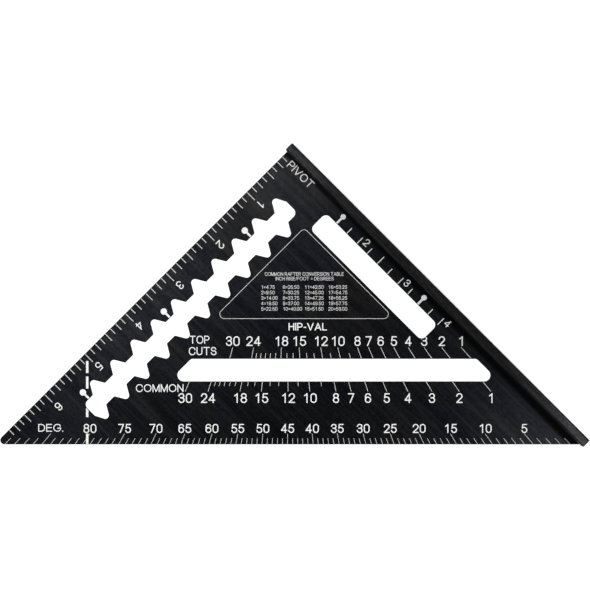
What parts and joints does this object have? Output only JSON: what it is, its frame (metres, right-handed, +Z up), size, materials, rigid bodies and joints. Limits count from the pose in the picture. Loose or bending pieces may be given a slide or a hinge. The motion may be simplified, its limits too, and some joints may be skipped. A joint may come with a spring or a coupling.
{
  "type": "speed square",
  "caption": "Triangular layout square with a flat slotted blade on a T fence, a toothed scribing slot, and printed inch, degree and rafter scales.",
  "frame": {"origin": "centre of the fence's outer face, which the part stands on", "axes": "+X along the fence towards the pivot corner and the rule edge, +Z up from the fence along the rule edge, -Y out of the printed front face of the blade"},
  "size_m": [0.1864, 0.0222, 0.1853],
  "materials": {
    "black_anodised": "black anodised, brushed along the fence",
    "white_print": "white scale marking",
    "fine_print": "thin white scale marking"
  },
  "bodies": {
    "root": {"blade": "black_anodised", "fence": "black_anodised", "rule_ticks": "white_print", "rule_numerals": "white_print", "fence_scale_ticks": "white_print", "fence_scale_numerals": "white_print", "fence_scale_studs": "white_print", "scribing_studs": "white_print", "pivot_label": "white_print", "degree_ticks": "fine_print", "degree_numerals": "white_print", "degree_label": "white_print", "hip_ticks": "fine_print", "hip_numerals": "white_print", "hip_label": "white_print", "common_ticks": "fine_print", "common_numerals": "white_print", "common_label": "white_print", "top_label": "white_print", "cuts_label": "white_print", "table_frame": "fine_print", "table_heading": "white_print", "table_column_1": "white_print", "table_column_2": "white_print", "table_column_3": "white_print", "table_column_4": "white_print", "seat_cut_line": "white_print"}
  },
  "joints": []
}
